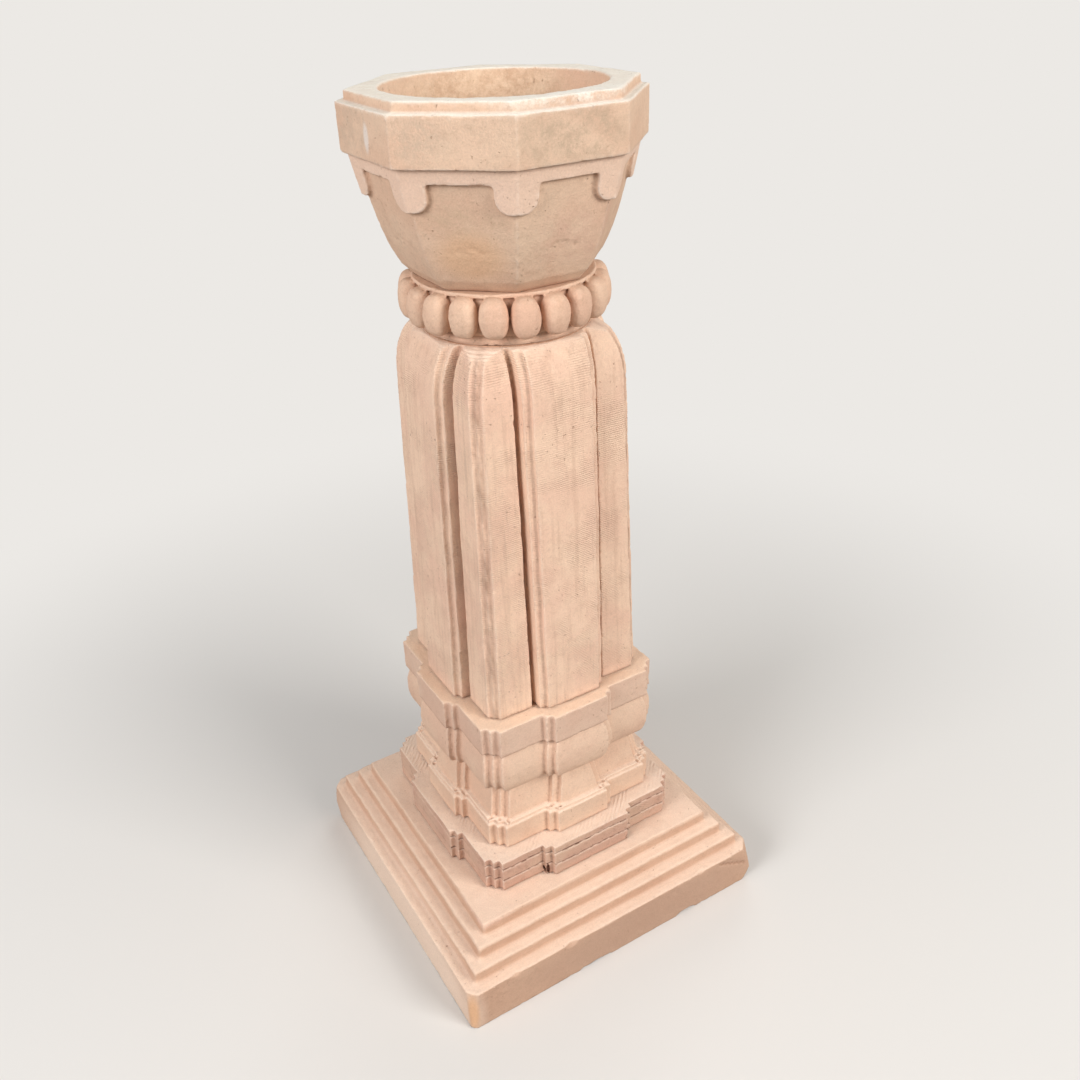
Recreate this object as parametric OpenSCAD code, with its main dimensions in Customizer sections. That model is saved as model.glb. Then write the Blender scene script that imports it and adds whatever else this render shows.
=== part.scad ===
// Stone tulsi planter: a stepped plinth, a moulded pedestal of indented plan and an octagonal bowl.
// Millimetres. The origin is the middle of the underside, +Z is up, and the sides face +-X and +-Y.

/* [Plinth] */
// Width of the square plinth
plinth_w = 380; // [350:5:460]
// Height of the plain slab under the steps
slab_h = 52.5; // [30:0.5:80]
// Number of steps cut on the slab
step_count = 3; // [1:1:4]
// Tread of each step
step_tread = 13.4; // [8:0.1:16]
// Rise of each step
step_rise = 14.5; // [8:0.5:20]

/* [Indented plan of the courses] */
// Distance from the axis to the face of the corner piers, on the cap course
pier_face = 106.7; // [98:0.1:115]
// How far the middle of each side stands proud of the corner piers
middle_proud = 12; // [8:0.5:15]
// Half width of the middle of each side
middle_half = 33.2; // [24:0.1:42]
// How far the strip beside the middle stands proud of the corner piers
strip_proud = 6; // [3:0.5:7]
// Width of the strip beside the middle
strip_w = 8; // [5:0.5:12]
// Side of each of the two little steps that cut the corner
notch = 7; // [4:0.5:10]

/* [Base course] */
// Height of the base course
base_h = 41; // [38:0.5:60]
// How far its faces stand outside the faces of the cap course
base_spread = 15.8; // [8:0.1:20]
// Height of each kerf cut round the base course
kerf_h = 1.6; // [1:0.1:3]
// Depth of each kerf
kerf_depth = 2.5; // [1:0.5:4]
// Height of the lower kerf above the bottom of the base course
kerf_low = 14.5; // [8:0.5:18]
// Height of the upper kerf above the bottom of the base course
kerf_high = 30.5; // [24:0.5:34]

/* [Lower moulding] */
// Height of its vertical band
band_h = 29; // [20:0.5:40]
// How far the band stands inside the faces of the cap course
band_inset = 0.5; // [0:0.1:3]
// Width of the flat ledge on top of the band
ledge_w = 2.6; // [1.5:0.1:4]
// Height of the raised fillet behind the ledge
fillet_h = 3.4; // [2:0.1:5]
// Width of the raised fillet
fillet_w = 2.8; // [1.5:0.1:4]
// Width of the sunk line behind the fillet
quirk_w = 1.8; // [1:0.1:3]
// Depth of the sunk line below the fillet
quirk_depth = 2.4; // [1:0.1:3.5]
// Height that the slope climbs
slope_h = 36; // [25:0.5:45]
// How far the neck above the slope stands inside the faces of the cap course
neck_inset = 15; // [11:0.5:18]
// Height of the neck
neck_h = 8; // [4:0.5:12]

/* [Cushion course] */
// Height of the cushion course
cushion_h = 53.5; // [45:0.5:60]
// How far the fullest line stands outside the faces of the cap course
cushion_proud = 0.8; // [0:0.1:2]
// How far the face falls back above the fullest line
cushion_back = 5; // [1:0.1:6]
// How far the lower edge curls under
cushion_curl = 10; // [5:0.5:12]
// Height of the fullest line above the bottom of the course
cushion_full_z = 27; // [20:0.5:32]

/* [Cap course] */
// Height of the cap course
cap_h = 35; // [25:0.5:45]

/* [Shaft] */
// Height of the shaft
shaft_h = 384.5; // [250:0.5:500]
// Distance from the axis to the face of the corner piers at the foot of the shaft
shaft_pier = 92; // [88:0.5:94]
// Distance from the axis to the middle face at the foot of the shaft
shaft_middle = 104.5; // [100:0.5:110]
// Half width of the middle face
shaft_middle_half = 32; // [26:0.5:36]
// How far the strip beside the middle face is set back from it
shaft_strip_drop = 5.5; // [3:0.5:7]
// Width of the strip beside the middle face
shaft_strip_w = 7; // [4:0.5:9]
// Width of the groove between strip and corner pier
groove_w = 5; // [3.5:0.5:8]
// Depth of the groove below the face of the corner pier
groove_depth = 8; // [4:0.5:12]
// How much each face leans in from the foot to the top
shaft_taper = 8.5; // [0:0.5:9]
// Side of each of the two little steps that cut the corner of the shaft
shaft_notch = 4.5; // [3:0.5:7]
// Height over which the tops of all its faces bend in towards the neck
shoulder_h = 52; // [40:1:70]
// How far the tops of the faces bend in, on top of their lean
shoulder_bend = 14.5; // [8:0.5:16]
// Height over which the corners round in to the neck
crown_h = 30; // [20:1:38]
// Radius of the round top of the shaft
shaft_top_r = 82; // [80:0.5:86]

/* [Bead collar] */
// Height of the collar
collar_h = 47; // [46:0.5:56]
// Radius of the collar behind the beads
collar_r = 80; // [78:0.5:81]
// Radius at the narrowest place of the hollow below the beads
hollow_r = 77; // [74:0.5:79]
// Height of the hollow below the beads
hollow_h = 9; // [6:0.5:11]
// How far the edge of the disc on top of the collar lies inside the ring of the beads
disc_inset = 2; // [1:0.5:4]
// Height of the disc on top of the collar
disc_h = 4; // [3:0.5:6]
// Number of beads
bead_count = 20; // [16:1:20]
// Radius of the ring on which the beads stand
bead_ring_r = 86.3; // [86:0.1:90]
// Width of one bead
bead_w = 25.5; // [20:0.5:26]
// Height of one bead
bead_h = 37; // [30:0.5:37]
// Share of its width by which a bead tapers from the ridge round its middle to each end
bead_taper_share = 0.12; // [0:0.01:0.3]

/* [Bowl] */
// Height of the sloping body below the rim band
body_h = 108; // [90:1:130]
// Distance from the axis to each of the eight faces, right under the rim band
body_face = 113.5; // [111:0.5:116]
// How far the body leans in by its straight slope
body_lean = 22; // [10:0.5:24]
// How far the body curls in at its foot, on top of the slope
body_curl = 13; // [8:0.5:16]
// Height of the rim band
rim_h = 40; // [30:0.5:50]
// Distance from the axis to each face of the rim band
rim_face = 123.5; // [122:0.5:128]
// Height of the low step on top of the rim band
lip_h = 8.5; // [5:0.5:12]
// Distance from the axis to each face of the low step
lip_face = 116.3; // [114:0.1:119]
// Radius of the cavity at the rim
mouth_r = 97; // [92:0.5:104]
// Radius of the cavity above the round of its floor
cavity_r = 75; // [64:0.5:76]
// Radius of the round between floor and wall of the cavity
cavity_round = 18; // [8:0.5:24]
// Thickness of the floor of the bowl
floor_t = 33; // [30:0.5:40]
// Diameter of the drain hole
drain_d = 12; // [8:0.5:14]

/* [Apron of the bowl] */
// Height of the strip that runs round under the rim band
apron_h = 12.5; // [8:0.5:16]
// How far the apron stands proud of the body
apron_proud = 5; // [3:0.5:5.5]
// Height of the lobe at each corner, from the rim band down
lobe_h = 36; // [26:0.5:44]
// Half width of a lobe, measured on the face from the corner
lobe_half = 18.5; // [14:0.5:22]
// Radius of the lower edges of a lobe
lobe_round = 12.5; // [6:0.5:13]

/* [Beds and pins] */
// Thickness of a mortar bed
bed_t = 1; // [0.5:0.1:3]
// How far a bed stops short of the faces of the stones
bed_recess = 3; // [1:0.5:5]
// Diameter of the steel pins across the beds
pin_d = 12; // [8:0.5:16]
// Depth to which a pin enters each stone
pin_depth = 18; // [12:0.5:18]
// Distance of each pin of a pair from the axis
pin_offset = 45; // [34:0.5:55]
// Diameter of the pin that centres the bowl
centre_pin_d = 16; // [12:0.5:20]
// Depth to which the centre pin enters the bowl
centre_pin_depth = 20; // [14:0.5:22]

/* [Hidden] */

$fn = 64;

// Gap round a pin, and the space left past its end
pin_clear = 0.3;
pin_end_clear = 1;
// Overrun of every cut past the face that it opens
over = 2;
// Slack between the crown's curve and the corners where it starts
crown_slack = 0.5;
// Depth that a groove keeps where it runs out at the neck
groove_run_out = 1.5;
// Depth to which the beads hang over the hollow
bead_hang = 1;
// Chamfer at the foot of the bowl and at both ends of a pin
foot_chamfer = 3;
pin_chamfer = 1;
// Width and depth of the weep channel in the top of the collar
weep_w = drain_d;
weep_depth = drain_d / 2;
// Segments of the curved outlines
curve_steps = 10;
// Power of the curl at the foot of the bowl, and of the rounded outline of a bead
curl_power = 4;
bead_power = 2.4;
// Angle through which the upper half of the cushion's curve turns, and that of the shaft's shoulder
cushion_top_angle = 50;
shoulder_angle = 65;

stone_a = [0.87, 0.74, 0.63];
stone_b = [0.84, 0.70, 0.59];
mortar_colour = [0.62, 0.52, 0.44];
steel_colour = [0.60, 0.61, 0.62];

// Heights of the beds and stones, from the floor up
plinth_top = slab_h + step_count * step_rise;
base_z = plinth_top + bed_t;
base_top = base_z + base_h;
moulding_z = base_top + bed_t;
moulding_h = band_h + fillet_h - quirk_depth + slope_h + neck_h;
moulding_top = moulding_z + moulding_h;
cushion_z = moulding_top + bed_t;
cushion_top = cushion_z + cushion_h;
cap_z = cushion_top + bed_t;
cap_top = cap_z + cap_h;
shaft_z = cap_top + bed_t;
shaft_top = shaft_z + shaft_h;
collar_z = shaft_top + bed_t;
collar_top = collar_z + collar_h;
bowl_z = collar_top;
rim_z = bowl_z + body_h;
lip_z = rim_z + rim_h;
bowl_top = lip_z + lip_h;
floor_z = bowl_z + floor_t;

disc_r = bead_ring_r - disc_inset;
drain_y = pin_offset;
centre_pin_foot = centre_pin_depth + pin_end_clear;

// The plan is a union of rectangles about the axis, given as half widths in X and Y.
plan_rects = [
    [pier_face + middle_proud, middle_half],
    [middle_half, pier_face + middle_proud],
    [pier_face + strip_proud, middle_half + strip_w],
    [middle_half + strip_w, pier_face + strip_proud],
    [pier_face, pier_face - 2 * notch],
    [pier_face - 2 * notch, pier_face],
    [pier_face - notch, pier_face - notch]
];

// Rectangles of the shaft's plan at its foot: half widths in X and Y, and whether each pair of faces leans in
shaft_strip_face = shaft_middle - shaft_strip_drop;
shaft_strip_half = shaft_middle_half + shaft_strip_w;
shaft_rects = [
    [shaft_middle, shaft_middle_half, true, false],
    [shaft_middle_half, shaft_middle, false, true],
    [shaft_strip_face, shaft_strip_half, true, false],
    [shaft_strip_half, shaft_strip_face, false, true],
    [shaft_pier, shaft_pier - 2 * shaft_notch, true, true],
    [shaft_pier - 2 * shaft_notch, shaft_pier, true, true],
    [shaft_pier - shaft_notch, shaft_pier - shaft_notch, true, true]
];

// Outline, from bottom to top, of a vertical course with kerfs, as [offset from the cap's face, height]
base_outline = [
    [base_spread, 0],
    [base_spread, kerf_low], [base_spread - kerf_depth, kerf_low],
    [base_spread - kerf_depth, kerf_low + kerf_h], [base_spread, kerf_low + kerf_h],
    [base_spread, kerf_high], [base_spread - kerf_depth, kerf_high],
    [base_spread - kerf_depth, kerf_high + kerf_h], [base_spread, kerf_high + kerf_h],
    [base_spread, base_h]
];

fillet_out = -band_inset - ledge_w;
quirk_out = fillet_out - fillet_w;
slope_z = band_h + fillet_h - quirk_depth;
moulding_outline = [
    [-band_inset, 0], [-band_inset, band_h],
    [fillet_out, band_h], [fillet_out, band_h + fillet_h],
    [quirk_out, band_h + fillet_h], [quirk_out, slope_z],
    [quirk_out - quirk_w, slope_z],
    [-neck_inset, slope_z + slope_h], [-neck_inset, moulding_h]
];

// Lower half of the cushion: a quarter of an ellipse that curls under. Upper half: a flatter arc.
cushion_low = [for (i = [0 : curve_steps])
    let (t = 90 * i / curve_steps)
    [cushion_proud - cushion_curl * (1 - sin(t)), cushion_full_z * (1 - cos(t))]];
cushion_high = [for (i = [1 : curve_steps])
    let (t = cushion_top_angle * i / curve_steps, top = cushion_top_angle)
    [cushion_proud - cushion_back * bent_share(t, top),
     cushion_full_z + (cushion_h - cushion_full_z) * sin(t) / sin(top)]];
cushion_outline = concat(cushion_low, cushion_high);

// Closed profile of one pair of opposite faces that stand at half + offset
function paired(outline, half) = concat(
    [for (p = outline) [half + p[0], p[1]]],
    [for (i = [len(outline) - 1 : -1 : 0]) [-half - outline[i][0], outline[i][1]]]
);

// Solid whose X faces follow x_profile and whose Y faces follow y_profile, with mitred corners
module mitred(x_profile, y_profile, length) {
    intersection() {
        rotate([90, 0, 0])
            linear_extrude(length, center = true) polygon(x_profile);
        rotate([90, 0, 90])
            linear_extrude(length, center = true) polygon(y_profile);
    }
}

// Course of the indented plan whose faces follow an outline
module course(outline) {
    reach = 2 * (pier_face + middle_proud + base_spread + over);
    for (r = plan_rects)
        mitred(paired(outline, r[0]), paired(outline, r[1]), reach);
}

// Plate of a plan made of rectangles, grown by spread
module plan_plate(rects, spread, height) {
    linear_extrude(height)
        for (r = rects)
            square(2 * [r[0] + spread, r[1] + spread], center = true);
}

// Centres of a pair of pins, along X or along Y
function pin_places(along_x) = [for (side = [-1, 1]) along_x ? [side * pin_offset, 0] : [0, side * pin_offset]];

// Bores for the pair of pins that crosses the bed whose underside is at z
module pin_bores(z, along_x) {
    for (place = pin_places(along_x))
        translate([place[0], place[1], z - pin_depth - pin_end_clear])
            cylinder(h = bed_t + 2 * (pin_depth + pin_end_clear), d = pin_d + 2 * pin_clear);
}

module chamfered_pin(d, length) {
    rotate_extrude()
        polygon([
            [0, 0], [d / 2 - pin_chamfer, 0], [d / 2, pin_chamfer],
            [d / 2, length - pin_chamfer], [d / 2 - pin_chamfer, length], [0, length]
        ]);
}

// A pair of pins across the bed whose underside is at z
module pin_pair(z, along_x) {
    color(steel_colour)
        for (place = pin_places(along_x))
            translate([place[0], place[1], z - pin_depth - pin_end_clear])
                chamfered_pin(pin_d, bed_t + 2 * pin_depth + pin_end_clear);
}

// Mortar bed of a plan made of rectangles, with holes for its pins
module bed(z, rects, spread, along_x) {
    color(mortar_colour)
        difference() {
            translate([0, 0, z]) plan_plate(rects, spread - bed_recess, bed_t);
            pin_bores(z, along_x);
        }
}

module plinth_slab() {
    color(stone_a)
        difference() {
            union() {
                translate([-plinth_w / 2, -plinth_w / 2, 0])
                    cube([plinth_w, plinth_w, slab_h]);
                for (i = [1 : step_count]) {
                    side = plinth_w - 2 * i * step_tread;
                    translate([-side / 2, -side / 2, 0])
                        cube([side, side, slab_h + i * step_rise]);
                }
            }
            pin_bores(plinth_top, true);
        }
}

module base_course() {
    color(stone_b)
        difference() {
            translate([0, 0, base_z]) course(base_outline);
            pin_bores(plinth_top, true);
            pin_bores(base_top, false);
        }
}

module lower_moulding() {
    color(stone_a)
        difference() {
            translate([0, 0, moulding_z]) course(moulding_outline);
            pin_bores(base_top, false);
            pin_bores(moulding_top, true);
        }
}

module cushion_course() {
    color(stone_b)
        difference() {
            translate([0, 0, cushion_z]) course(cushion_outline);
            pin_bores(moulding_top, true);
            pin_bores(cushion_top, false);
        }
}

module cap_course() {
    color(stone_a)
        difference() {
            translate([0, 0, cap_z]) plan_plate(plan_rects, 0, cap_h);
            pin_bores(cushion_top, false);
            pin_bores(cap_top, true);
        }
}

// Share of a bend that is done at a turn of t degrees, out of a whole turn of angle
function bent_share(t, angle) = (1 - cos(t)) / (1 - cos(angle));

// Outline, from foot to top, of an upright shaft face, or of one that leans in and bends in at its top
function shaft_outline(leans, bend) = !leans ? [[0, 0], [0, shaft_h]] :
    concat([[0, 0]], [for (i = [0 : curve_steps])
        let (
            t = shoulder_angle * i / curve_steps,
            z = shaft_h - shoulder_h * (1 - sin(t) / sin(shoulder_angle))
        )
        [-shaft_taper * z / shaft_h - bend * bent_share(t, shoulder_angle), z]]);

// Block of the shaft: half widths in X and Y at the foot, which faces lean in, and how far their tops bend
module shaft_block(half_x, half_y, x_leans, y_leans, bend) {
    mitred(
        paired(shaft_outline(x_leans, bend), half_x),
        paired(shaft_outline(y_leans, bend), half_y),
        2 * (shaft_middle + over)
    );
}

// Round envelope that takes the corners of the shaft in to the neck
module crown() {
    start = shaft_h - crown_h;
    pier = shaft_pier - shaft_taper * start / shaft_h;
    corner_r = norm([pier, pier - 2 * shaft_notch]) + crown_slack;
    wide_r = norm([shaft_pier, shaft_pier]) + over;
    arc = [for (i = [0 : curve_steps])
        let (t = shoulder_angle * i / curve_steps)
        [corner_r - (corner_r - shaft_top_r) * bent_share(t, shoulder_angle),
         start + crown_h * sin(t) / sin(shoulder_angle)]];
    rotate_extrude()
        polygon(concat([[0, 0], [wide_r, 0], [wide_r, start]], arc, [[0, shaft_h]]));
}

// The eight grooves between the strips and the corner piers, which grow shallow towards the neck
module shaft_grooves() {
    floor_half = shaft_pier - groove_depth;
    difference() {
        for (turn = [0, 90], side = [-1, 1])
            rotate([0, 0, turn])
                translate([side * (shaft_strip_half + groove_w / 2) - groove_w / 2, -shaft_middle, -over])
                    cube([groove_w, 2 * shaft_middle, shaft_h + 2 * over]);
        shaft_block(floor_half, floor_half, true, true, shoulder_bend - groove_depth + groove_run_out);
    }
}

module shaft() {
    color(stone_b)
        difference() {
            translate([0, 0, shaft_z])
                difference() {
                    intersection() {
                        for (r = shaft_rects)
                            shaft_block(r[0], r[1], r[2], r[3], shoulder_bend);
                        crown();
                    }
                    shaft_grooves();
                }
            pin_bores(cap_top, true);
            pin_bores(shaft_top, false);
        }
}

// One upright bead with its middle at the origin: a full barrel with a soft ridge round its middle
module bead() {
    upper = [for (i = [0 : curve_steps])
        let (
            t = 90 * i / curve_steps,
            rise = pow(sin(t), 2 / bead_power),
            reach = pow(max(cos(t), 0), 2 / bead_power)
        )
        [bead_w / 2 * reach * (1 - bead_taper_share * rise), bead_h / 2 * rise]];
    lower = [for (i = [curve_steps : -1 : 1]) [upper[i][0], -upper[i][1]]];
    rotate_extrude($fn = 32)
        polygon(concat(lower, upper));
}

module bead_collar() {
    bead_z = hollow_h - bead_hang + bead_h / 2;
    hollow = [for (i = [0 : curve_steps])
        let (t = 90 * i / curve_steps)
        [hollow_r + (shaft_top_r - hollow_r) * (1 - sin(t)), hollow_h * (1 - cos(t))]];
    color(stone_a)
        difference() {
            translate([0, 0, collar_z]) {
                rotate_extrude()
                    polygon(concat(
                        [[0, 0]], hollow,
                        [[collar_r, hollow_h], [collar_r, collar_h - disc_h],
                         [disc_r, collar_h - disc_h], [disc_r, collar_h], [0, collar_h]]
                    ));
                for (i = [0 : bead_count - 1])
                    rotate([0, 0, 360 * i / bead_count])
                        translate([bead_ring_r, 0, bead_z]) bead();
            }
            pin_bores(shaft_top, false);
            translate([0, 0, collar_top - centre_pin_foot])
                cylinder(h = centre_pin_foot + over, d = centre_pin_d + 2 * pin_clear);
            translate([-weep_w / 2, drain_y - drain_d / 2, collar_top - weep_depth])
                cube([weep_w, bead_ring_r + bead_w, weep_depth + over]);
        }
}

// Octagonal solid whose eight faces all follow one outline of [distance from the axis, height]
module octagonal(outline) {
    intersection_for (turn = [0 : 45 : 135])
        rotate([0, 0, turn])
            rotate([90, 0, 0])
                linear_extrude(2 * (rim_face + over), center = true) polygon(paired(outline, 0));
}

// Octagonal prism of a given distance from the axis to its faces
module octagon_plate(face, height) {
    rotate([0, 0, 22.5])
        cylinder(h = height, r = face / cos(22.5), $fn = 8);
}

// Distance from the axis to the body's face at a drop below the rim band
function body_at(drop) =
    body_face - body_lean * drop / body_h - body_curl * pow(drop / body_h, curl_power);

// Opening between two lobes, as seen square on to a face: across, and up from the foot of the lobes
module lobe_gap(half_face) {
    gap_half = half_face - lobe_half;
    difference() {
        translate([-gap_half - lobe_round, -over])
            square([2 * (gap_half + lobe_round), over + lobe_round]);
        for (side = [-1, 1])
            translate([side * (gap_half + lobe_round), lobe_round]) circle(lobe_round);
    }
    translate([-gap_half, -over])
        square([2 * gap_half, over + lobe_h - apron_h]);
}

module apron() {
    top_face = body_face + apron_proud;
    foot_face = body_at(lobe_h) + apron_proud;
    difference() {
        octagonal([[foot_face, 0], [top_face, lobe_h]]);
        for (turn = [0 : 45 : 315])
            rotate([0, 0, turn])
                translate([0, -foot_face / 2, 0])
                    rotate([90, 0, 0])
                        linear_extrude(foot_face) lobe_gap(foot_face * tan(22.5));
    }
}

// Planting cavity, from the floor up past the mouth
module cavity() {
    depth = bowl_top - floor_z;
    widening = (mouth_r - cavity_r) / (depth - cavity_round);
    corner = [for (i = [0 : curve_steps])
        let (t = 90 * i / curve_steps)
        [cavity_r - cavity_round * (1 - sin(t)), cavity_round * (1 - cos(t))]];
    rotate_extrude()
        polygon(concat(
            [[0, 0]], corner, [[mouth_r, depth], [mouth_r + widening * over, depth + over], [0, depth + over]]
        ));
}

module bowl() {
    body_outline = [for (i = [curve_steps : -1 : 0])
        let (drop = body_h * i / curve_steps)
        [body_at(drop) - (i == curve_steps ? foot_chamfer : 0), body_h - drop]];
    color(stone_b)
        difference() {
            translate([0, 0, bowl_z]) {
                octagonal(body_outline);
                translate([0, 0, body_h - lobe_h]) apron();
                translate([0, 0, body_h]) octagon_plate(rim_face, rim_h);
                translate([0, 0, body_h + rim_h]) octagon_plate(lip_face, lip_h);
            }
            translate([0, 0, floor_z]) cavity();
            translate([0, 0, bowl_z - over])
                cylinder(h = over + centre_pin_depth + pin_end_clear, d = centre_pin_d + 2 * pin_clear);
            translate([0, drain_y, bowl_z - over])
                cylinder(h = floor_t + 2 * over, d = drain_d);
        }
}

module collar_bed() {
    color(mortar_colour)
        difference() {
            translate([0, 0, shaft_top])
                cylinder(h = bed_t, r = shaft_top_r - bed_recess);
            pin_bores(shaft_top, false);
        }
}

module bowl_pin() {
    color(steel_colour)
        translate([0, 0, collar_top - centre_pin_foot])
            chamfered_pin(centre_pin_d, centre_pin_foot + centre_pin_depth);
}

plinth_slab();
base_course();
lower_moulding();
cushion_course();
cap_course();
shaft();
bead_collar();
bowl();
bed(plinth_top, plan_rects, base_spread, true);  // plinth_bed
bed(base_top, plan_rects, -band_inset, false);  // base_bed
bed(moulding_top, plan_rects, -neck_inset, true);  // moulding_bed
bed(cushion_top, plan_rects, -cushion_back, false);  // cushion_bed
bed(cap_top, shaft_rects, 0, true);  // cap_bed
collar_bed();
pin_pair(plinth_top, true);  // plinth_pins
pin_pair(base_top, false);  // base_pins
pin_pair(moulding_top, true);  // moulding_pins
pin_pair(cushion_top, false);  // cushion_pins
pin_pair(cap_top, true);  // cap_pins
pin_pair(shaft_top, false);  // collar_pins
bowl_pin();
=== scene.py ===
"""Looks of a carved sandstone planter: worn stones, mortar, steel pins, floor, light, camera.

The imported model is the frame. Each stone is shown by a worn, hand-dressed copy of its node. The
mortar beds and the steel pins keep their nodes and get a finish.
"""

import logging
import math
from dataclasses import dataclass, field
from enum import Enum
from typing import Any, Iterable, Mapping, Union

import bpy
import numpy as np
from mathutils import Matrix, Vector


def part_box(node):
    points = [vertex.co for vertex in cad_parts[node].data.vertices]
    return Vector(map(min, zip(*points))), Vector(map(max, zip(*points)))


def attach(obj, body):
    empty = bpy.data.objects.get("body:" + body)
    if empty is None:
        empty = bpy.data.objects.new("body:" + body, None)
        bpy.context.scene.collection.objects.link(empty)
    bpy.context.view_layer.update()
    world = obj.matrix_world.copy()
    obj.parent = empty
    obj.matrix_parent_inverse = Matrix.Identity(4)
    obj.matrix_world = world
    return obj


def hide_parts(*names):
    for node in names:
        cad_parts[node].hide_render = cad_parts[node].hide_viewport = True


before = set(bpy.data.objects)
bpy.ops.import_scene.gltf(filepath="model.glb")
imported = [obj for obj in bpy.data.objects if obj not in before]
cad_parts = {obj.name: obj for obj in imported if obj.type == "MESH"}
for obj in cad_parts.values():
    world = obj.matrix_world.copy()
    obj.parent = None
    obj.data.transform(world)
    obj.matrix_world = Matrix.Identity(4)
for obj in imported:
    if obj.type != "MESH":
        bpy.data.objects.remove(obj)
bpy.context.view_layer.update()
LOG = logging.getLogger("planter")

MM = 0.001
Colour = tuple[float, float, float, float]
Point = tuple[float, float, float]


class Body(Enum):
    """The bodies that pieces ride on."""

    PEDESTAL = "pedestal"
    BOWL = "bowl"


class Slot(Enum):
    """The material slots of the record."""

    PLINTH = "plinth_stone"
    COURSE = "course_stone"
    SHAFT = "shaft_stone"
    COLLAR = "collar_stone"
    BOWL = "bowl_stone"
    MORTAR = "bed_mortar"
    STEEL = "pin_steel"


class Tooling(Enum):
    """How a stone's faces were dressed."""

    RUBBED = "rubbed smooth"
    COMBED = "fine level lines of a toothed chisel"
    HATCHED = "crossed strokes of a flat chisel"


def paint(red: int, green: int, blue: int) -> Colour:
    """Turns a painted swatch into a linear colour.

    Args:
        red: The swatch's red, from 0 to 255.
        green: Its green.
        blue: Its blue.

    Returns:
        The linear colour, with an alpha of 1.
    """
    shares = (red / 255, green / 255, blue / 255)
    linear = [c / 12.92 if c <= 0.04045 else ((c + 0.055) / 1.055) ** 2.4 for c in shares]
    return (*linear, 1.0)


# Shader maths


class Wire:
    """An output socket that Python's operators turn into Math nodes."""

    def __init__(self, sheet: "Sheet", socket: bpy.types.NodeSocket) -> None:
        """Wraps an output socket of a sheet."""
        self.sheet = sheet
        self.socket = socket

    def _math(self, operation: str, first: "Value", second: "Value") -> "Wire":
        """One Math node on two values."""
        return self.sheet.node("ShaderNodeMath", {"operation": operation}, {0: first, 1: second})

    def __add__(self, other: "Value") -> "Wire":
        """self + other."""
        return self._math("ADD", self, other)

    def __radd__(self, other: "Value") -> "Wire":
        """other + self."""
        return self._math("ADD", other, self)

    def __sub__(self, other: "Value") -> "Wire":
        """self - other."""
        return self._math("SUBTRACT", self, other)

    def __rsub__(self, other: "Value") -> "Wire":
        """other - self."""
        return self._math("SUBTRACT", other, self)

    def __mul__(self, other: "Value") -> "Wire":
        """self * other."""
        return self._math("MULTIPLY", self, other)

    def __rmul__(self, other: "Value") -> "Wire":
        """other * self."""
        return self._math("MULTIPLY", other, self)


Value = Union[Wire, float]
Setting = Union[str, float, bool]
WAVE_PERIOD = math.tau / 20  # A wave texture repeats after this length at a scale of 1.


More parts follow.
